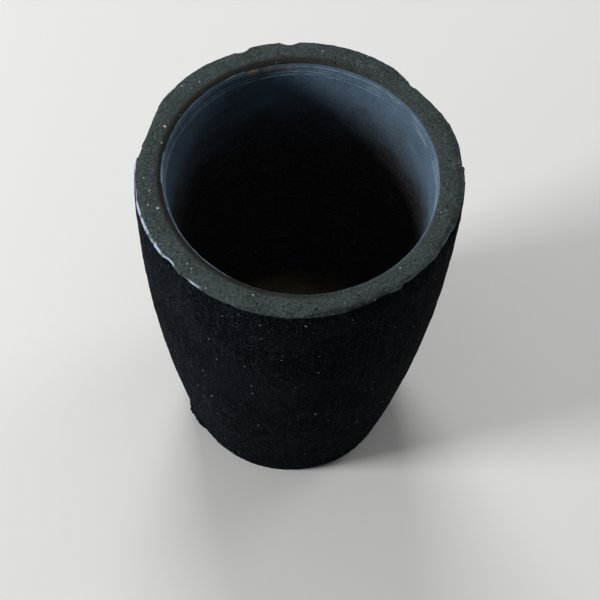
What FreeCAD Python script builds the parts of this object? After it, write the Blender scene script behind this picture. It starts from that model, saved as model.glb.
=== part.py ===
# Foundry crucible: one cast and fired clay-graphite pot. Millimetres, +Z up.
# The origin is the centre of the foot, on the surface that it stands on.
# The wall is a barrel of revolution, open at the top. The rim's outer edge isn't round: it has
# worn flats with corners between them, a few chips and a notch. The foot has lost two bites
# of its edge and keeps one thin upright flake beside the larger bite.
import FreeCAD, Part
import os
import Sketcher

NODE = "crucible"

# alias, value, what it is
SIZES = (
    ("height", 107.0, "foot to the top of the rim"),
    ("rim_radius", 40.3, "outside of the rim where it is unworn"),
    ("foot_radius", 25.9, "radius of the foot's flat, inside its rounded edge"),
    ("wall_foot", 27.65, "radius at which the outer wall starts"),
    ("wall_start", 1.4, "height at which the outer wall starts"),
    ("belly", 2.9, "how far the outer wall bows out from a straight line"),
    ("rim_bevel", 0.4, "bevel of the rim's outer edge"),
    ("rim_wall", 7.2, "thickness of the wall at the rim"),
    ("rim_crown", 0.5, "how far the middle of the rim stands above its edges"),
    ("mouth_shift", 0.5, "how far the hollow stands off the outer axis, along +X"),
    ("mouth_rise", 3.0, "how far the hollow's tool stands above the rim"),
    ("lip_round", 1.3, "rounding of the rim's inner edge"),
    ("lip_seat", 2.4, "depth of the straight lip at the mouth"),
    ("inner_belly", 1.6, "how far the inner wall bows out from a straight line"),
    ("floor_thickness", 12.0, "thickness of the floor"),
    ("well_radius", 21.4, "widest radius that the round of the floor's corner would reach"),
    ("well_corner", 15.0, "radius of that corner"),
    ("flat_size", 60.0, "side of the blocks that cut the flats"),
    ("flake_turn", -153.0, "direction of the flake"),
    ("flake_sweep", 11.0, "how far the flake runs round the foot, in degrees"),
    ("flake_reach", 28.1, "distance of the flake's outer face from the axis at the bottom"),
    ("flake_height", 7.5, "height at which the flake runs out into the wall"),
    ("flake_root", 25.0, "distance of the flake's hidden inner side from the axis"),
)

# How many straight bands stand for each curve of the two profiles. At these counts no band
# lies more than 0.1 mm off its curve on the walls, or 0.2 mm in the corner of the floor.
WALL_BANDS = 7
INNER_BANDS = 4
CORNER_BANDS = 4
LIP_BANDS = 2

# The direction, in degrees below level, in which the floor's corner meets the inner wall.
CORNER_START = 13

# The worn flats of the rim's outer edge. Direction seen from above, distance of the flat from
# the axis at the height of the rim, and how far it leans outwards as it goes down, in degrees.
FLATS = (
    ("left_corner", 165.0, 38.95, 6.0),
    ("back_left", 118.0, 39.6, 8.0),
    ("back_right", 45.0, 39.4, 5.0),
    ("back_right_bevel", 41.0, 37.9, 48.0),
    ("right", -10.0, 39.8, 5.0),
    ("right_front", -27.0, 39.5, 6.0),
    ("front_right", -42.0, 39.0, 9.0),
    ("front_right_worn", -59.0, 38.9, 12.0),
    ("front_worn", -74.0, 38.6, 35.0),
    ("front", -84.0, 39.8, 14.0),
    ("front_left", -130.0, 39.9, 6.0),
    ("left", -172.0, 39.7, 5.0),
)

# The chips, each the hollow that a ball leaves. Direction seen from above, distance of the
# ball's centre from the axis, height of the centre, and radius of the ball.
CHIPS = (
    ("rim_notch", -138.0, 42.9, 106.9, 3.6),
    ("rim_chip_back", 96.0, 42.6, 107.6, 3.7),
    ("rim_chip_back_left", 114.0, 42.4, 107.4, 3.5),
    ("rim_chip_front", -47.0, 41.3, 107.4, 2.9),
    ("foot_bite_left", -138.0, 29.3, -0.4, 3.3),
    ("foot_bite_right", -39.0, 30.2, -1.2, 4.2),
)


def make_sheet(doc):
    """Every driving dimension as a named cell."""
    rows = list(SIZES)
    for name, turn, reach, lean in FLATS:
        rows.append((name + "_turn", turn, "direction of the flat"))
        rows.append((name + "_reach", reach, "distance of the flat from the axis"))
        rows.append((name + "_lean", lean, "lean of the flat"))
    for name, turn, reach, level, radius in CHIPS:
        rows.append((name + "_turn", turn, "direction of the chip"))
        rows.append((name + "_reach", reach, "distance of the ball's centre from the axis"))
        rows.append((name + "_level", level, "height of the ball's centre"))
        rows.append((name + "_ball", radius, "radius of the ball"))
    sheet = doc.addObject("Spreadsheet::Sheet", "Sizes")
    for row, (alias, value, note) in enumerate(rows, start=1):
        sheet.set(f"A{row}", note)
        sheet.set(f"B{row}", str(value))
        sheet.setAlias(f"B{row}", alias)
    doc.recompute()
    return sheet


def make_sketch(body, name, turn=None):
    """An empty sketch on the body's own upright plane, or turned about the vertical axis to
    the direction in a cell. Sketch x is the distance from the axis and y the height."""
    plane = next(item for item in body.Origin.OriginFeatures if item.Role == "XZ_Plane")
    sketch = body.newObject("Sketcher::SketchObject", name)
    sketch.AttachmentSupport = (plane, [""])
    sketch.MapMode = "FlatFace"
    if turn:
        spot = f"placement(vector(0; 0; 0); rotation(0; {turn}; 0))"
        sketch.setExpression("AttachmentOffset", spot)
    return sketch


def bowed(low, high, rise, bands):
    """The points of a shallow bowed line between two points, as formulas of across and up.
    Each point is a pair of formulas, and rise is how far the middle bows outwards."""
    points = []
    for band in range(bands + 1):
        part = round(band / bands, 4)
        bow = round(4 * part * (1 - part), 4)
        across = f"({low[0]}) * {1 - part:.4f} + ({high[0]}) * {part} + ({rise}) * {bow}"
        up = f"({low[1]}) * {1 - part:.4f} + ({high[1]}) * {part}"
        points.append((across, up))
    return points


def rounded(centre, radius, first, last, bands):
    """The points of an arc from one direction to another, in degrees up from across."""
    points = []
    for band in range(bands + 1):
        turn = first + (last - first) * band / bands
        across = f"{centre[0]} + ({radius}) * cos({turn:.2f} * 1 deg)"
        up = f"{centre[1]} + ({radius}) * sin({turn:.2f} * 1 deg)"
        points.append((across, up))
    return points


def hold(sketch, sheet, edge, point, name):
    """Pins the start of an edge at its two formulas, or to an axis of the sketch."""
    axes = (("across", "DistanceX", -2), ("up", "DistanceY", -1))
    for formula, (way, kind, axis) in zip(point, axes):
        if formula == "0":
            sketch.addConstraint(Sketcher.Constraint("PointOnObject", edge, 1, axis))
            continue
        value = sheet.evalExpression(formula)
        index = sketch.addConstraint(Sketcher.Constraint(kind, -1, 1, edge, 1, value))
        sketch.renameConstraint(index, f"{name}_{way}")
        sketch.setExpression(f"Constraints.{name}_{way}", formula)


def draw_profile(sketch, sheet, points):
    """Draws the closed outline through points that are given as formulas, and pins each."""
    spots = [[float(sheet.evalExpression(formula)) for formula in point] for point in points]
    count = len(points)
    for edge in range(count):
        start = FreeCAD.Vector(*spots[edge], 0)
        end = FreeCAD.Vector(*spots[(edge + 1) % count], 0)
        sketch.addGeometry(Part.LineSegment(start, end), False)
    for edge, point in enumerate(points):
        sketch.addConstraint(Sketcher.Constraint("Coincident", edge, 2, (edge + 1) % count, 1))
        hold(sketch, sheet, edge, point, f"point_{edge}")


def draw_wall(body, sheet):
    """The outer profile: foot with a rounded edge, bowed wall, bevel, crowned rim, and the axis."""
    sketch = make_sketch(body, "WallProfile")
    edge = "Sizes.height - Sizes.rim_crown"
    wall_foot = ("Sizes.wall_foot", "Sizes.wall_start")
    wall_top = ("Sizes.rim_radius", edge + " - Sizes.rim_bevel")
    points = [
        ("0", "0"),
        ("Sizes.foot_radius", "0"),
        ("(Sizes.foot_radius + 2 * Sizes.wall_foot) / 3", "Sizes.wall_start / 3"),
        *bowed(wall_foot, wall_top, "Sizes.belly", WALL_BANDS),
        ("Sizes.rim_radius - Sizes.rim_bevel", edge),
        ("Sizes.rim_radius - Sizes.rim_wall * 0.3", "Sizes.height"),
        ("Sizes.rim_radius - Sizes.rim_wall * 0.7", "Sizes.height"),
        ("Sizes.rim_radius - Sizes.rim_wall", edge),
        ("0", edge),
    ]
    draw_profile(sketch, sheet, points)
    return sketch


def draw_hollow(body, sheet):
    """The inner profile: mouth, rounded lip, bowed wall, rounded corner and flat floor."""
    sketch = make_sketch(body, "HollowProfile")
    axis = "Sizes.mouth_shift"
    mouth = "Sizes.mouth_shift + Sizes.rim_radius - Sizes.rim_wall"
    above = "Sizes.height + Sizes.mouth_rise"
    lip_centre = (mouth + " + Sizes.lip_round", "Sizes.height - Sizes.lip_round")
    corner_centre = (
        "Sizes.mouth_shift + Sizes.well_radius - Sizes.well_corner",
        "Sizes.floor_thickness + Sizes.well_corner",
    )
    corner = rounded(corner_centre, "Sizes.well_corner", -CORNER_START, -90, CORNER_BANDS)
    seat = (mouth, "Sizes.height - Sizes.lip_seat")
    wall = bowed(corner[0], seat, "Sizes.inner_belly", INNER_BANDS)
    points = [
        (axis, above),
        (mouth + " + Sizes.lip_round", above),
        *rounded(lip_centre, "Sizes.lip_round", 90, 180, LIP_BANDS),
        *reversed(wall),
        *corner[1:],
        (axis, "Sizes.floor_thickness"),
    ]
    draw_profile(sketch, sheet, points)
    add_axis(sketch, sheet, len(points))
    return sketch


def add_axis(sketch, sheet, line):
    """The hollow's own upright axis, as a construction line: the sketch's Axis0."""
    across = sheet.get("mouth_shift")
    foot = FreeCAD.Vector(across, 0, 0)
    sketch.addGeometry(Part.LineSegment(foot, foot + FreeCAD.Vector(0, sheet.get("height"), 0)), True)
    sketch.addConstraint(Sketcher.Constraint("Vertical", line))
    hold(sketch, sheet, line, ("Sizes.mouth_shift", "0"), "axis")
    length = Sketcher.Constraint("DistanceY", line, 1, line, 2, sheet.get("height"))
    sketch.renameConstraint(sketch.addConstraint(length), "axis_length")
    sketch.setExpression("Constraints.axis_length", "Sizes.height")


def spin(body, kind, name, sketch, axis):
    """A full turn of a sketch about one of its axes. A Revolution adds, a Groove cuts away."""
    turned = body.newObject("PartDesign::" + kind, name)
    turned.Profile = sketch
    turned.ReferenceAxis = (sketch, [axis])
    turned.Angle = 360
    return turned


def polar(reach, turn, level):
    """The formula of a point given by its distance from the axis, direction and height."""
    return f"vector(({reach}) * cos({turn} * 1 deg); ({reach}) * sin({turn} * 1 deg); {level})"


def cut_flat(body, name):
    """One worn flat: a leaning block whose near face stands at the flat's distance."""
    block = body.newObject("PartDesign::SubtractiveBox", name)
    for side in ("Length", "Width", "Height"):
        block.setExpression(side, "Sizes.flat_size * 1 mm")
    turn = f"Sizes.{name}_turn"
    lean = f"Sizes.{name}_lean"
    spot = polar(f"Sizes.{name}_reach", turn, "Sizes.height")
    facing = f"rotation({turn}; -{lean}; 0)"
    block.setExpression(
        "Placement",
        f"placement({spot}; {facing}) * placement(vector(0; -Sizes.flat_size / 2;"
        f" -Sizes.flat_size / 2); rotation(0; 0; 0))")
    return block


def cut_chip(body, name):
    """One chip: the hollow of a ball."""
    ball = body.newObject("PartDesign::SubtractiveSphere", name)
    ball.setExpression("Radius", f"Sizes.{name}_ball * 1 mm")
    spot = polar(f"Sizes.{name}_reach", f"Sizes.{name}_turn", f"Sizes.{name}_level")
    ball.setExpression("Placement", f"placement({spot}; rotation(0; 0; 0))")
    return ball


def add_flake(body, sheet):
    """The thin flake that stands upright on the foot's edge: a short sector of a sliver."""
    sketch = make_sketch(body, "FlakeProfile", turn="Sizes.flake_turn")
    points = [
        ("Sizes.flake_root", "0"),
        ("Sizes.flake_reach", "0"),
        ("Sizes.flake_reach", "Sizes.flake_height / 2"),
        ("Sizes.flake_root", "Sizes.flake_height"),
    ]
    draw_profile(sketch, sheet, points)
    flake = spin(body, "Revolution", "Flake", sketch, "V_Axis")
    flake.setExpression("Angle", "Sizes.flake_sweep * 1 deg")
    flake.Midplane = True
    return flake


def expect_change(doc, feature, before, sign):
    """Recomputes, and stops if the feature didn't add or take away material as it should."""
    doc.recompute()
    after = feature.Shape.Volume
    if (after - before) * sign <= 0.01:
        raise RuntimeError(f"{feature.Name} left the volume at {after:.2f} from {before:.2f}")
    print(f"{feature.Name:24s} {before:12.1f} -> {after:12.1f} mm3")
    return after


def build_crucible(doc, sheet):
    body = doc.addObject("PartDesign::Body", "Crucible")
    body.Label = NODE
    wall = spin(body, "Revolution", "Wall", draw_wall(body, sheet), "V_Axis")
    volume = expect_change(doc, wall, 0.0, 1)
    hollow = spin(body, "Groove", "Hollow", draw_hollow(body, sheet), "Axis0")
    volume = expect_change(doc, hollow, volume, -1)
    for name, *_ in FLATS:
        volume = expect_change(doc, cut_flat(body, name), volume, -1)
    for name, *_ in CHIPS:
        volume = expect_change(doc, cut_chip(body, name), volume, -1)
    expect_change(doc, add_flake(body, sheet), volume, 1)
    return body


def check_document(doc):
    """Stops at any feature that failed without raising, and at any sketch left loose."""
    for item in doc.Objects:
        if {"Invalid", "Error"} & set(item.State):
            raise RuntimeError(f"{item.Name} is {item.State}")
        if item.TypeId == "Sketcher::SketchObject" and not item.FullyConstrained:
            raise RuntimeError(f"{item.Name} isn't fully constrained")


def export(body):
    shape = body.Shape
    if shape.isNull() or not shape.isValid() or len(shape.Solids) != 1:
        raise RuntimeError(f"{body.Label} isn't one valid solid")
    os.makedirs("parts", exist_ok=True)
    shape.exportStep(os.path.join("parts", body.Label + ".step"))
    box = shape.optimalBoundingBox()
    print(f"{body.Label}: {box.XLength:.1f} x {box.YLength:.1f} x {box.ZLength:.1f} mm,"
          f" {shape.Volume / 1000:.1f} cm3, {len(shape.Faces)} faces")


document = FreeCAD.newDocument("Crucible")
crucible = build_crucible(document, make_sheet(document))
document.recompute()
check_document(document)
export(crucible)
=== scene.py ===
import math
import random
import bmesh
import bpy
from mathutils import Matrix, Vector


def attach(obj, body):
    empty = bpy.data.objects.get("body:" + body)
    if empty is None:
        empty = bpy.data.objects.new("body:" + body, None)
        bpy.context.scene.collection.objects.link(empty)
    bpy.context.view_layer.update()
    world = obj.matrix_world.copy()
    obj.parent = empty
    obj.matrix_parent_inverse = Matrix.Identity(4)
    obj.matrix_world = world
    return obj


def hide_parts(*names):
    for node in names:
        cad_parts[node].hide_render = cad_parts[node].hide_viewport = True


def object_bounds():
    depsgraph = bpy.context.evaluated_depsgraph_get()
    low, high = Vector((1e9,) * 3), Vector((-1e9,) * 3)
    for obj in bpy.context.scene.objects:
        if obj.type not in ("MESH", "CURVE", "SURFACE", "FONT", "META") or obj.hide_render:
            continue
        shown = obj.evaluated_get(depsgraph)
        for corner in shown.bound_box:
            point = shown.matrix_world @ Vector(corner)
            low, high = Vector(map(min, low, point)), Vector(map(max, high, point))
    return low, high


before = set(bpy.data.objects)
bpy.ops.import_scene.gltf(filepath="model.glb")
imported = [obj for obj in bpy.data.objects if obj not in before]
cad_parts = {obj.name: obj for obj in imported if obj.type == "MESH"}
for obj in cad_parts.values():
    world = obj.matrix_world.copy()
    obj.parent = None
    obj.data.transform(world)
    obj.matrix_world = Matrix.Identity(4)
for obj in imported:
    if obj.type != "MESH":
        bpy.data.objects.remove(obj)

cad_low, cad_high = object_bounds()
MM = 0.001

# Outer and inner forms, as the solid model has them.
HEIGHT = (cad_high.z - cad_low.z) / MM
RIM_RADIUS = (cad_high.x - cad_low.x) / MM / 2
FOOT_RADIUS = 25.9
WALL_FOOT = (27.65, 1.4)
BELLY = 2.9
RIM_BEVEL = 0.4
RIM_WALL = 7.2
RIM_CROWN = 0.5
MOUTH_SHIFT = 0.5
INNER_BELLY = 1.6
FLOOR = 12.0
WELL_RADIUS = 21.4
WELL_CORNER = 15.0
CORNER_START = 13.0
FOOT_ROUND = 1.8
FOOT_ROUND_END = -14
HALF_WALL = 4.0

# How finely the mesh is divided: round the axis, along each run of the profile, and the rings
# on the flat of the foot and on the floor of the hollow.
STEPS_ROUND = 420
WALL_STEPS = 98
CROWN_STEPS = 14
SHOULDER_STEPS = 10
HOLLOW_STEPS = 54
CORNER_STEPS = 12
FOOT_RINGS = (0, 7, 13, 18, 22, 24.5)
FLOOR_RINGS = (4.5, 2.2, 0)

# The rounded shoulder between the rim's top and the hollow: its width and depth. The tool's
# marks below it: how many, how far below the top they start, their pitch and their depth.
SHOULDER = (2.4, 2.0)
MARKS = 2
MARKS_START = 2.7
MARK_PITCH = 1.0
MARK_DEPTH = 0.4
MARKS_FADE = (101.9, 102.2)

# The rim's worn flats: direction from above, distance from the axis at the rim, lean.
FLATS = {
    "left_corner": (165, 38.95, 6),
    "back_left": (118, 39.6, 8),
    "back_right": (45, 39.4, 5),
    "back_right_bevel": (41, 37.9, 48),
    "right": (-10, 39.8, 5),
    "right_front": (-27, 39.5, 6),
    "front_right": (-42, 39.0, 9),
    "front_right_worn": (-59, 38.9, 12),
    "front_worn": (-74, 38.6, 35),
    "front": (-84, 39.8, 14),
    "front_left": (-130, 39.9, 6),
    "left": (-172, 39.7, 5),
}

# The chips: direction from above, distance and height of the ball that fits each, its radius.
CHIPS = {
    "rim_notch": (-138, 42.9, 106.9, 3.6),
    "rim_chip_back": (96, 42.6, 107.6, 3.7),
    "rim_chip_back_left": (114, 42.4, 107.4, 3.5),
    "rim_chip_front": (-47, 41.3, 107.4, 2.9),
    "foot_bite_left": (-138, 29.3, -0.4, 3.3),
    "foot_bite_right": (-39, 30.2, -1.2, 4.2),
}

# The small nicks of the rim's outer edge, and how many of them may lie anywhere round it.
NICKS = 22
NICKS_ANYWHERE = 9

# The stretches of the rim's worn outer edge that carry a painted glint: from and to, seen from
# above in degrees, and how bright the painted glint is.
WORN_GLINT_SPANS = (
    (-210, -204, 0.7),
    (-190, -134, 1.0),
    (-131, -121, 0.9),
    (-112, -96, 0.35),
    (-57, -17, 0.65),
    (-15, 18, 0.55),
)

# The layers of relief in the skin: name, size of the grain, height, the group of points that it
# works on, and the level of the pattern that leaves the skin where it is.
RELIEF = (
    ("swell", 22.0, 0.4, "off_foot", 0.6),
    ("lumps", 3.6, 0.22, "off_foot", 0.55),
    ("rim_pits", 1.4, 0.12, "rim", 0.55),
    ("skin_grit", 1.3, 0.24, "outside", 0.55),
    ("hollow_grit", 1.8, 0.12, "hollow", 0.5),
)

# The tan crust left on the lip at the back: the middle and half sizes of each spot.
DEPOSITS = (
    ((-13.4, 30.6, 105.3), (2.4, 1.6, 0.8)),
    ((-9.4, 32.0, 105.1), (2.8, 1.2, 0.5)),
    ((-4.6, 32.9, 105.1), (3.2, 1.0, 0.4)),
)


def bowed(low, high, rise, steps):
    """Points of a shallow bowed line from low to high, both ends included."""
    points = []
    for step in range(steps + 1):
        part = step / steps
        across = low[0] + (high[0] - low[0]) * part + rise * 4 * part * (1 - part)
        points.append((across, low[1] + (high[1] - low[1]) * part))
    return points


def rounded(centre, radius, first, last, steps):
    """Points of an arc between two directions in degrees, both ends included."""
    points = []
    for step in range(steps + 1):
        turn = math.radians(first + (last - first) * step / steps)
        points.append((centre[0] + radius * math.cos(turn), centre[1] + radius * math.sin(turn)))
    return points


def turning_marks(points):
    """The shallow grooves, with sharp ridges between them, that the tool left under the lip."""
    marked = []
    for across, level in points:
        way = (HEIGHT - level - MARKS_START) / MARK_PITCH
        groove = 0.0
        if 0 < way < MARKS:
            groove = MARK_DEPTH * (1 - abs(math.cos(way * math.pi)))
        marked.append((across + groove, level))
    return marked


def pot_profile():
    """Half of the pot's section as (distance from the axis, height), from the middle of the
    underside out, up the wall, over the rim and down the hollow to the middle of its floor."""
    edge = HEIGHT - RIM_CROWN
    mouth = RIM_RADIUS - RIM_WALL
    foot = [(across, 0.0) for across in FOOT_RINGS + (FOOT_RADIUS,)]
    foot_edge = rounded((FOOT_RADIUS, FOOT_ROUND), FOOT_ROUND, -90, FOOT_ROUND_END, 5)
    wall = bowed(WALL_FOOT, (RIM_RADIUS, edge - RIM_BEVEL), BELLY, WALL_STEPS)
    wall = wall[:-4] + finer(wall[-4:], 3)
    width = RIM_WALL - RIM_BEVEL - SHOULDER[0]
    crown = []
    for step in range(CROWN_STEPS + 1):
        part = step / CROWN_STEPS
        lift = RIM_CROWN * math.sin(math.pi * (0.08 + 0.62 * part)) ** 0.8
        crown.append((RIM_RADIUS - RIM_BEVEL - width * part, edge + lift * min(part * 3, 1)))
    top = crown[-1]
    shoulder = []
    for step in range(1, SHOULDER_STEPS + 1):
        turn = math.radians(90 / SHOULDER_STEPS * step)
        across = top[0] - SHOULDER[0] * math.sin(turn)
        shoulder.append((across, top[1] - SHOULDER[1] * (1 - math.cos(turn))))
    centre = (WELL_RADIUS - WELL_CORNER, FLOOR + WELL_CORNER)
    corner = rounded(centre, WELL_CORNER, -CORNER_START, -90, CORNER_STEPS)
    lip = (mouth, shoulder[-1][1] - 0.1)
    low_wall = bowed(corner[0], lip, INNER_BELLY, HOLLOW_STEPS)[::-1]
    inner = turning_marks(finer(low_wall[:4], 9)) + low_wall[4:]
    floor = [(across, FLOOR) for across in FLOOR_RINGS]
    return foot + foot_edge[1:] + wall[1:] + crown + shoulder + inner + corner[1:] + floor


def finer(points, parts):
    """A chain of points with each of its runs divided in equal parts."""
    chain = [points[0]]
    for start, end in zip(points, points[1:]):
        chain += bowed(start, end, 0.0, parts)[1:]
    return chain


def pick(mesh_object, test):
    """Selects, in edit mode, the points that pass a test, and returns how many there are."""
    mesh = bmesh.from_edit_mesh(mesh_object.data)
    count = 0
    for point in mesh.verts:
        point.select = bool(test(point.co))
        count += point.select
    mesh.select_flush_mode()
    bmesh.update_edit_mesh(mesh_object.data)
    return count


def on_axis(turn, reach, level):
    """A place in metres from its direction in degrees, distance from the axis and height."""
    angle = math.radians(turn)
    return Vector((math.cos(angle) * reach, math.sin(angle) * reach, level)) * MM


def turn_pot():
    """The plain pot: the profile as a chain of extruded edges, turned once round the axis."""
    bpy.ops.object.select_all(action="DESELECT")
    bpy.ops.mesh.primitive_circle_add(vertices=3, radius=1)
    pot = bpy.context.object
    pot.name = "pot"
    bpy.ops.object.mode_set(mode="EDIT")
    profile = pot_profile()
    bpy.ops.mesh.select_all(action="SELECT")
    bpy.ops.mesh.merge(type="CENTER")
    last = profile[0]
    for spot in profile[1:]:
        step = ((spot[0] - last[0]) * MM, 0, (spot[1] - last[1]) * MM)
        bpy.ops.mesh.extrude_vertices_move(TRANSFORM_OT_translate={"value": step})
        last = spot
    bpy.ops.object.mode_set(mode="OBJECT")
    turning = pot.modifiers.new("turning", "SCREW")
    turning.steps = STEPS_ROUND
    turning.render_steps = STEPS_ROUND
    turning.use_merge_vertices = True
    turning.merge_threshold = 0.00001
    bpy.ops.object.modifier_apply(modifier=turning.name)
    bpy.ops.object.mode_set(mode="EDIT")
    bpy.ops.mesh.select_all(action="SELECT")
    bpy.ops.mesh.remove_doubles(threshold=0.00002)
    bpy.ops.mesh.normals_make_consistent(inside=False)
    return pot


def set_hollow_off_centre():
    """Moves the hollow along +X, and lets the crown of the rim take up the shift ring by ring."""
    outer = RIM_RADIUS - RIM_BEVEL
    inner = RIM_RADIUS - RIM_WALL + SHOULDER[0]
    rings = 14
    for ring in range(1, rings + 1):
        reach = (outer - (outer - inner) * (ring - 0.5) / rings) * MM

        def inside(spot):
            radius = math.hypot(spot.x, spot.y)
            if spot.z > (HEIGHT - 4.0) * MM:
                return radius < reach
            return spot.z > (FLOOR - 0.5) * MM and radius < wall_middle(spot.z / MM) * MM

        pick(pot, inside)
        bpy.ops.transform.translate(value=(MOUTH_SHIFT / rings * MM, 0, 0))


def wall_middle(level):
    """The distance from the axis of the middle of the wall at a height."""
    part = (level - WALL_FOOT[1]) / (HEIGHT - RIM_CROWN - RIM_BEVEL - WALL_FOOT[1])
    outer = WALL_FOOT[0] + (RIM_RADIUS - WALL_FOOT[0]) * part + BELLY * 4 * part * (1 - part)
    return outer - HALF_WALL


def wear_flat(turn, reach, lean):
    """Presses all that stands beyond a leaning plane back on to the plane."""
    angle = math.radians(turn)
    tip = math.radians(lean)
    level_part = math.cos(tip)
    normal = Vector((math.cos(angle) * level_part, math.sin(angle) * level_part, math.sin(tip)))
    place = on_axis(turn, reach, HEIGHT)
    if not pick(pot, lambda spot: (spot - place).dot(normal) > 0):
        return
    side = normal.orthogonal().normalized()
    axes = Matrix((normal, side, normal.cross(side))).transposed()
    bpy.ops.transform.resize(
        value=(0, 1, 1), orient_type="GLOBAL", orient_matrix=axes, orient_matrix_type="GLOBAL",
        constraint_axis=(True, False, False), center_override=place)


def bite(turn, reach, level, radius):
    """Presses the skin inside a ball out on to the ball, which leaves a chip's round hollow."""
    centre = on_axis(turn, reach, level)
    hit = pick(pot, lambda spot: (spot - centre).length < radius * MM)
    bpy.ops.object.mode_set(mode="OBJECT")
    if hit:
        group = pot.vertex_groups.new(name="chip")
        chosen = [point.index for point in pot.data.vertices if point.select]
        group.add(chosen, 1.0, "REPLACE")
        ball = bpy.data.objects.new("chip_ball", None)
        ball.location = centre
        bpy.context.scene.collection.objects.link(ball)
        bpy.context.view_layer.update()
        press = pot.modifiers.new("chip", "CAST")
        press.cast_type = "SPHERE"
        press.factor = 1.0
        press.object = ball
        press.use_radius_as_size = False
        press.size = radius * MM
        press.radius = 0.0
        press.vertex_group = group.name
        bpy.ops.object.modifier_apply(modifier=press.name)
        pot.vertex_groups.clear()
        bpy.data.objects.remove(ball)
    bpy.ops.object.mode_set(mode="EDIT")


def nudge(place, move, size):
    """Moves the point of the skin that is nearest to a place, and its neighbours with it."""
    mesh = bmesh.from_edit_mesh(pot.data)
    nearest = min(mesh.verts, key=lambda point: (point.co - place).length_squared)
    spot = nearest.co.copy()
    pick(pot, lambda other: (other - spot).length_squared < 1e-12)
    bpy.ops.transform.translate(
        value=move * MM, use_proportional_edit=True, proportional_edit_falloff="SPHERE",
        proportional_size=size * MM)


def nick_rim():
    """Small nicks round the rim's outer edge, most of them at the front right, where it is worn."""
    rng = random.Random(11)
    for nick in range(NICKS):
        turn = rng.uniform(-180, 180) if nick < NICKS_ANYWHERE else rng.uniform(-75, 12)
        depth = rng.uniform(0.12, 0.4)
        inward = on_axis(turn, -depth, -depth * rng.uniform(0.2, 1.0)) / MM
        nudge(on_axis(turn, RIM_RADIUS - 0.2, HEIGHT - 0.6), inward, rng.uniform(0.7, 1.9))


def raise_flake():
    """The thin upright flake on the foot's edge, beside the larger bite."""
    for level, out in ((1.5, 0.5), (3.5, 0.55), (5.5, 0.45)):
        for turn in (-158, -153, -148):
            nudge(on_axis(turn, 28.3, level), on_axis(turn, out, 0) / MM, 2.0)


def weigh(name, weight):
    """A group of points, each with the weight that a function gives its place in mm."""
    group = pot.vertex_groups.new(name=name)
    for point in pot.data.vertices:
        value = weight(point.co / MM)
        if value > 0:
            group.add([point.index], min(value, 1.0), "REPLACE")


def roughen(name, size, height, group, middle):
    """Lifts and sinks the skin by a pattern of one grain size, over one group of points."""
    pattern = bpy.data.textures.new(name, "CLOUDS")
    pattern.noise_scale = size * MM
    pattern.noise_depth = 2
    lift = pot.modifiers.new(name, "DISPLACE")
    lift.texture = pattern
    lift.texture_coords = "LOCAL"
    lift.strength = height * MM
    lift.mid_level = middle
    lift.vertex_group = group
    bpy.ops.object.modifier_apply(modifier=lift.name)


def mark_worn_edge_glint():
    """Stores, point by point, how strong a painted glint the rim's worn outer edge carries."""
    worn = pot.data.attributes.new("worn", "FLOAT", "POINT")
    for point in pot.data.vertices:
        spot = point.co / MM
        radius = math.hypot(spot.x, spot.y)
        if spot.z < HEIGHT - RIM_CROWN - RIM_BEVEL - 0.1 or radius < RIM_RADIUS - RIM_BEVEL - 0.1:
            continue
        turn = math.degrees(math.atan2(spot.y, spot.x))
        for start, end, strength in WORN_GLINT_SPANS:
            for whole in (-360, 0):
                near = min(turn + whole - start, end - turn - whole)
                if near > 0:
                    worn.data[point.index].value = strength * min(near / 3, 1.0)


def off_the_foot(spot):
    """0 on the flat that the pot stands on, 1 from 1.5 mm above it."""
    return min(max(spot.z / 1.5, 0.0), 1.0)


def on_rim(spot):
    """1 on the top of the rim, fading out over 2 mm below it."""
    return min(max((spot.z - (HEIGHT - 3.0)) / 2.0, 0.0), 1.0)


def on_outside(spot):
    """1 on the outer wall, 0 inside and on the flat of the foot."""
    if math.hypot(spot.x, spot.y) < wall_middle(spot.z):
        return 0.0
    return off_the_foot(spot)


def in_hollow(spot):
    """1 on the inner wall and floor, fading in below the lip."""
    if math.hypot(spot.x, spot.y) > wall_middle(spot.z) or spot.z < FLOOR - 0.5:
        return 0.0
    return min(max((HEIGHT - 6.5 - spot.z) / 4.0, 0.15), 1.0)


def linear(colour):
    """An sRGB hex colour as linear red, green, blue and alpha."""
    parts = [int(colour[start:start + 2], 16) / 255 for start in (1, 3, 5)]
    return tuple(part / 12.92 if part <= 0.04045 else ((part + 0.055) / 1.055) ** 2.4
                 for part in parts) + (1.0,)


def per(size):
    """How many repeats of a size in millimetres go into a metre."""
    return 1 / (size * MM)


def add(tree, kind, settings, inputs):
    """Adds a node, gives it its settings, and sets or links its inputs by name or number."""
    node = tree.nodes.new("ShaderNode" + kind)
    for name, value in settings.items():
        setattr(node, name, value)
    for name, value in inputs.items():
        if isinstance(value, bpy.types.NodeSocket):
            tree.links.new(value, node.inputs[name])
        else:
            node.inputs[name].default_value = value
    return node


def new_material(name):
    """An empty material, its tree, its shader and the place on the object in metres."""
    material = bpy.data.materials.new(name)
    material.use_nodes = True
    tree = material.node_tree
    tree.nodes.clear()
    shader = add(tree, "BsdfPrincipled", {}, {})
    add(tree, "OutputMaterial", {}, {"Surface": shader.outputs[0]})
    place = add(tree, "TexCoord", {}, {}).outputs["Object"]
    return material, tree, shader, place


def blend(tree, factor, below, above, way="MIX"):
    """One colour over another by a factor."""
    mix = add(tree, "Mix", {"data_type": "RGBA", "blend_type": way}, {0: factor})
    for number, colour in ((6, below), (7, above)):
        if isinstance(colour, str):
            mix.inputs[number].default_value = linear(colour)
        else:
            tree.links.new(colour, mix.inputs[number])
    return mix.outputs[2]


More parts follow.
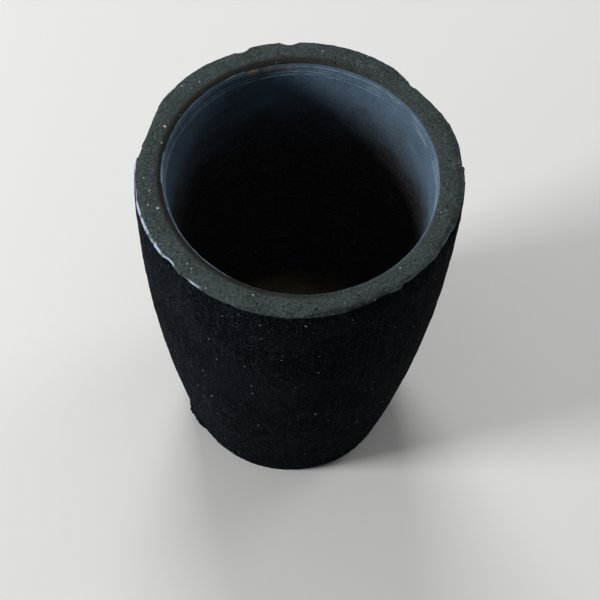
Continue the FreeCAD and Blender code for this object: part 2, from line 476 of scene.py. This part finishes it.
def specks(tree, place, spacing, size, share, seed):
    """A mask of scattered round specks: their spacing and size in mm, and the share of the
    cells that hold one."""
    shifted = add(tree, "Mapping", {}, {
        "Vector": place, "Location": (seed, seed * 0.7, seed * 0.3)})
    ragged = add(tree, "TexNoise", {}, {"Vector": place, "Scale": per(size * 2), "Detail": 2.0})
    moved = add(tree, "VectorMath", {"operation": "MULTIPLY_ADD"},
                {0: ragged.outputs["Color"], 1: (size * MM,) * 3, 2: shifted.outputs[0]})
    cells = add(tree, "TexVoronoi", {}, {"Vector": moved.outputs[0], "Scale": per(spacing)})
    edge = size / spacing
    near = add(tree, "MapRange", {}, {"Value": cells.outputs["Distance"], "From Min": edge * 0.6,
                                      "From Max": edge, "To Min": 1.0, "To Max": 0.0})
    parts = add(tree, "SeparateColor", {}, {"Color": cells.outputs["Color"]})
    chosen = add(tree, "Math", {"operation": "LESS_THAN"}, {0: parts.outputs[0], 1: share})
    return add(tree, "Math", {"operation": "MULTIPLY"},
               {0: near.outputs[0], 1: chosen.outputs[0]}).outputs[0]


def patch(tree, place, centre, size, ragged):
    """A mask of one soft-edged spot: its middle and half sizes in mm, and a value from 0 to 1
    that frays its edge."""
    local = add(tree, "Mapping", {"vector_type": "TEXTURE"}, {
        "Vector": place, "Location": [part * MM for part in centre],
        "Scale": [part * MM for part in size]})
    away = add(tree, "VectorMath", {"operation": "LENGTH"}, {0: local.outputs[0]}).outputs["Value"]
    frayed = calculate(tree, "ADD", away, calculate(tree, "MULTIPLY", ragged, 0.8))
    return between(tree, frayed, 1.5, 1.1)


def stretched(tree, place, across, up, detail):
    """Noise whose grain has one size across and another up the wall, in mm."""
    scaled = add(tree, "Mapping", {}, {
        "Vector": place, "Scale": (per(across), per(across), per(up))})
    return add(tree, "TexNoise", {}, {"Vector": scaled.outputs[0], "Scale": 1.0, "Detail": detail,
                                      "Roughness": 0.6}).outputs["Fac"]


def grain(tree, place, size, detail):
    """Noise of one grain size in mm, from 0 to 1."""
    return add(tree, "TexNoise", {}, {"Vector": place, "Scale": per(size), "Detail": detail,
                                      "Roughness": 0.6}).outputs["Fac"]


def between(tree, value, low, high, to_low=0.0, to_high=1.0):
    """A value's way from low to high, smoothed, as a number from to_low to to_high."""
    return add(tree, "MapRange", {"interpolation_type": "SMOOTHSTEP"},
               {"Value": value, "From Min": low, "From Max": high,
                "To Min": to_low, "To Max": to_high}).outputs[0]


def calculate(tree, operation, first, second):
    """One sum of two numbers or values."""
    return add(tree, "Math", {"operation": operation}, {0: first, 1: second}).outputs[0]


def bumped(tree, shader, layers, height):
    """Gives the shader the relief of several layers: each a value and its share of a height
    in millimetres."""
    total = 0.0
    for value, share in layers:
        total = calculate(tree, "ADD", total, calculate(tree, "MULTIPLY", value, share))
    bump = add(tree, "Bump", {}, {"Height": total, "Distance": height * MM, "Strength": 1.0})
    tree.links.new(bump.outputs[0], shader.inputs["Normal"])


def worn_edge_glint(tree, place):
    """A mask of the painted glint on the rim's worn outer edge, broken up into short beads."""
    worn = add(tree, "Attribute", {"attribute_name": "worn"}, {}).outputs["Fac"]
    beads = between(tree, grain(tree, place, 1.5, 3.0), 0.36, 0.56, 0.1, 1.0)
    narrow = between(tree, worn, 0.42, 1.0)
    return calculate(tree, "MULTIPLY", narrow, beads)


def skin_material():
    """Fired clay-graphite as it leaves the press: near black, matte and gritty, dragged upwards
    by the mould into faint streaks, with blue-grey grains where graphite lies at the surface,
    tiny specks of painted glint, and a painted glint along the rim's worn outer edge."""
    material, tree, shader, place = new_material("fired_clay_graphite_skin")
    streaks = stretched(tree, place, 1.1, 15.0, 4.0)
    patches = grain(tree, place, 16.0, 3.0)
    grit = grain(tree, place, 0.7, 3.0)
    colour = blend(tree, between(tree, patches, 0.38, 0.66), "#07090b", "#0d1013")
    colour = blend(tree, between(tree, streaks, 0.5, 0.74, 0.0, 0.35), colour, "#182026")
    colour = blend(tree, between(tree, grit, 0.5, 0.68, 0.0, 0.85), colour, "#1f272e")
    rubbed = patch(tree, place, (-14, -35, 66), (9, 9, 13), patches)
    colour = blend(tree, calculate(tree, "MULTIPLY", rubbed, 0.8), colour, "#0f1317")
    # Painted shade: the pits are darkened in colour as well as sunk by the bump.
    pits = specks(tree, place, 3.4, 0.55, 0.4, 0.31)
    colour = blend(tree, pits, colour, "#060708")
    # Painted glint: the rim's worn outer edge is coloured pale blue-grey, a highlight painted into
    # the colour.
    colour = blend(tree, worn_edge_glint(tree, place), colour, "#93a5b3")
    # Painted glints: tiny blue-grey specks that stand in for the sparkle of graphite grains.
    painted_glints = specks(tree, place, 0.9, 0.16, 0.2, 0.67)
    colour = blend(tree, painted_glints, colour, "#414c56")
    for spacing, size, share, seed in ((1.8, 0.19, 0.16, 0.11), (3.8, 0.3, 0.16, 0.43)):
        colour = blend(tree, specks(tree, place, spacing, size, share, seed), colour, "#a9a79e")
    tree.links.new(colour, shader.inputs["Base Color"])
    rough = between(tree, streaks, 0.35, 0.7, 0.78, 0.6)
    tree.links.new(rough, shader.inputs["Roughness"])
    shader.inputs["Specular IOR Level"].default_value = 0.004
    shader.inputs["Specular Tint"].default_value = linear("#c9dcff")
    bumped(tree, shader, ((grit, 0.5), (grain(tree, place, 1.9, 4.0), 0.9), (streaks, 0.6),
                          (pits, -0.6)), 0.45)
    return material


def rim_material():
    """The bare body where the rim was ground and knocked: matte mid grey clay with the grains
    of its temper, pale specks of silica and pits where grains fell out, darkened with painted
    shade;
    its shoulder gets painted shade and its worn outer edge a painted glint."""
    material, tree, shader, place = new_material("bare_clay_graphite_rim")
    cloud = grain(tree, place, 6.0, 4.0)
    grit = grain(tree, place, 0.6, 2.0)
    cells = add(tree, "TexVoronoi", {}, {"Vector": place, "Scale": per(1.1)})
    centred = add(tree, "Mapping", {}, {"Vector": place, "Location": (-MOUTH_SHIFT * MM, 0, 0),
                                        "Scale": (1, 1, 0)})
    away = add(tree, "VectorMath", {"operation": "LENGTH"}, {0: centred.outputs[0]})
    reach = away.outputs["Value"]
    inner = RIM_RADIUS - RIM_WALL
    shoulder = between(tree, reach, (inner + SHOULDER[0] + 0.3) * MM, (inner + 1.5) * MM)
    colour = blend(tree, between(tree, cloud, 0.35, 0.66), "#2c3333", "#353d3e")
    colour = blend(tree, between(tree, grit, 0.5, 0.68, 0.0, 0.7), colour, "#4b5454")
    colour = blend(tree, between(tree, grit, 0.47, 0.32, 0.0, 0.7), colour, "#1c2021")
    # Painted shade: the rounded shoulder into the hollow is darkened brown, most on the -X side,
    # where its slope faces away from the key lamp.
    side = add(tree, "SeparateXYZ", {}, {"Vector": place})
    shoulder_shade_side = between(tree, side.outputs["X"], 24 * MM, -14 * MM, 0.2, 0.95)
    colour = blend(tree, calculate(tree, "MULTIPLY", shoulder, shoulder_shade_side), colour, "#1d1b16")
    # Painted shade: the pits are darkened in colour as well as sunk by the bump.
    pits = specks(tree, place, 2.6, 0.4, 0.4, 0.77)
    colour = blend(tree, pits, colour, "#171918")
    # Painted glint: the rim's worn outer edge is coloured pale blue-grey, a highlight painted into
    # the colour.
    colour = blend(tree, worn_edge_glint(tree, place), colour, "#93a5b3")
    for spacing, size, share, seed in ((1.9, 0.22, 0.3, 0.53), (4.0, 0.38, 0.26, 0.19)):
        colour = blend(tree, specks(tree, place, spacing, size, share, seed), colour, "#b7ad9a")
    for spot in DEPOSITS:
        colour = blend(tree, patch(tree, place, *spot, grit), colour, "#766c61")
    tree.links.new(colour, shader.inputs["Base Color"])
    shader.inputs["Roughness"].default_value = 0.88
    shader.inputs["Specular IOR Level"].default_value = 0.2
    bumped(tree, shader, ((grit, 0.8), (cells.outputs["Distance"], 0.4), (pits, -0.8)), 0.16)
    return material


def hollow_material():
    """The inner wall: fine dull clay-graphite, ringed by the tool, with a painted blue-grey sheen
    near the mouth and warm brown towards the floor, lightened there by painted light from above."""
    material, tree, shader, place = new_material("clay_graphite_hollow_painted_light")
    rings = stretched(tree, place, 14.0, 0.9, 4.0)
    grit = grain(tree, place, 0.6, 3.0)
    cloud = grain(tree, place, 11.0, 4.0)
    level = add(tree, "SeparateXYZ", {}, {"Vector": place}).outputs["Z"]
    ragged = calculate(tree, "ADD", level, calculate(tree, "MULTIPLY", cloud, 30 * MM))
    # Painted sheen: the wall turns a light blue grey near the mouth, where the key lamp's light
    # falls.
    colour = blend(tree, between(tree, ragged, 90 * MM, 122 * MM), "#252220", "#465a6c")
    # Towards the floor the warm brown grows lighter: painted light from above.
    colour = blend(tree, between(tree, ragged, 46 * MM, 24 * MM), colour, "#6b6149")
    colour = blend(tree, between(tree, rings, 0.5, 0.8, 0.0, 0.18), colour, "#647a8c")
    colour = blend(tree, between(tree, grit, 0.5, 0.75, 0.0, 0.35), colour, "#6a7278")
    # Painted highlight: thin pale lines along the tool's ridges under the lip, where light catches
    # them.
    below = calculate(tree, "SUBTRACT", level, (HEIGHT - MARKS_START) * MM)
    turn = calculate(tree, "MULTIPLY", below, math.pi / (MARK_PITCH * MM))
    ridge_highlight = calculate(tree, "ABSOLUTE", calculate(tree, "COSINE", turn, 0.0), 0.0)
    zone = calculate(tree, "MULTIPLY", between(tree, level, MARKS_FADE[0] * MM, MARKS_FADE[1] * MM),
                     between(tree, grain(tree, place, 5.0, 3.0), 0.4, 0.6, 0.0, 0.8))
    ridge_highlight = calculate(tree, "MULTIPLY", between(tree, ridge_highlight, 0.8, 1.0), zone)
    colour = blend(tree, ridge_highlight, colour, "#7f909d")
    for spot in DEPOSITS:
        colour = blend(tree, patch(tree, place, *spot, grit), colour, "#766c61")
    colour = blend(tree, specks(tree, place, 3.8, 0.3, 0.12, 0.9), colour, "#8f8a7e")
    tree.links.new(colour, shader.inputs["Base Color"])
    shader.inputs["Roughness"].default_value = 0.9
    shader.inputs["Specular IOR Level"].default_value = 0.2
    bumped(tree, shader, ((grit, 0.5), (rings, 0.25), (grain(tree, place, 1.6, 3.0), 0.6)), 0.3)
    return material


def coat(number, test):
    """Gives a material slot to the faces whose middle passes a test."""
    mesh = bmesh.from_edit_mesh(pot.data)
    for face in mesh.faces:
        face.select_set(bool(test(face.calc_center_median() / MM)))
    bmesh.update_edit_mesh(pot.data)
    pot.active_material_index = number
    bpy.ops.object.material_slot_assign()


def faces_of_rim(spot):
    """The faces of the rim's top, its bevel and its shoulder."""
    radius = math.hypot(spot.x, spot.y)
    return spot.z > HEIGHT - RIM_CROWN - RIM_BEVEL and radius > RIM_RADIUS - RIM_WALL + 0.35


def faces_of_hollow(spot):
    """The faces of the inner wall and floor, below the rim's."""
    radius = math.hypot(spot.x, spot.y)
    return spot.z > FLOOR - 0.5 and radius < wall_middle(spot.z) and not faces_of_rim(spot)


pot = turn_pot()
set_hollow_off_centre()
for material in (skin_material(), rim_material(), hollow_material()):
    pot.data.materials.append(material)
coat(1, faces_of_rim)
coat(2, faces_of_hollow)
bpy.ops.object.mode_set(mode="OBJECT")
mark_worn_edge_glint()
bpy.ops.object.mode_set(mode="EDIT")
for sizes in FLATS.values():
    wear_flat(*sizes)
raise_flake()
for sizes in CHIPS.values():
    bite(*sizes)
nick_rim()
bpy.ops.object.mode_set(mode="OBJECT")
weigh("off_foot", off_the_foot)
weigh("rim", on_rim)
weigh("outside", on_outside)
weigh("hollow", in_hollow)
for layer in RELIEF:
    roughen(*layer)
bpy.ops.object.mode_set(mode="EDIT")
# What the relief lifted past the top, or sank below the foot, is pressed back level.
for level in (HEIGHT, 0.0):
    way = 1 if level else -1
    if pick(pot, lambda spot: (spot.z - level * MM) * way > 0):
        bpy.ops.transform.resize(value=(1, 1, 0), center_override=(0, 0, level * MM))
bpy.ops.object.mode_set(mode="OBJECT")
bpy.ops.object.select_all(action="DESELECT")
pot.select_set(True)
bpy.ops.object.shade_smooth_by_angle(angle=math.radians(50))
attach(pot, "root")
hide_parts("crucible")

# A plain pale floor, wide enough to fill the view.
bpy.ops.object.select_all(action="DESELECT")
bpy.ops.mesh.primitive_plane_add(size=6.0, location=(0, 0, 0))
floor = bpy.context.object
floor.name = "floor"
floor_paint, _, floor_shader, _ = new_material("plain_pale_floor")
floor_shader.inputs["Base Color"].default_value = linear("#d9d9d8")
floor_shader.inputs["Roughness"].default_value = 0.9
floor_shader.inputs["Specular IOR Level"].default_value = 0.2
floor.data.materials.append(floor_paint)


def lamp(name, place, aim, size, power):
    """A soft square lamp that faces a point. Places are in millimetres."""
    data = bpy.data.lights.new(name, "AREA")
    data.shape = "SQUARE"
    data.size = size * MM
    data.energy = power
    light = bpy.data.objects.new(name, data)
    light.location = Vector(place) * MM
    light.rotation_euler = (Vector(aim) - Vector(place)).to_track_quat("-Z", "Y").to_euler()
    bpy.context.scene.collection.objects.link(light)


lamp("key", (-830, -260, 385), (0, 0, 105), 240, 9.6)
lamp("back", (-150, 700, 830), (0, 0, 100), 420, 5.9)
lamp("top", (0, -60, 1150), (0, 0, 60), 700, 1.3)
lamp("far_side", (640, 420, 480), (0, 0, 100), 360, 1.6)

world = bpy.data.worlds.new("soft_room")
world.use_nodes = True
world.node_tree.nodes["Background"].inputs["Color"].default_value = (1, 1, 1, 1)
world.node_tree.nodes["Background"].inputs["Strength"].default_value = 0.11
bpy.context.scene.world = world

camera_data = bpy.data.cameras.new("camera")
camera_data.lens = 133.7
camera_data.sensor_width = 36.0
camera_data.clip_end = 20.0
camera = bpy.data.objects.new("camera", camera_data)
camera.location = Vector((0, -300.9, 555.2)) * MM
camera.rotation_euler = [math.radians(turn) for turn in (30.58, -1.68, 2.49)]
bpy.context.scene.collection.objects.link(camera)
bpy.context.scene.camera = camera
bpy.context.scene.view_settings.view_transform = "Standard"
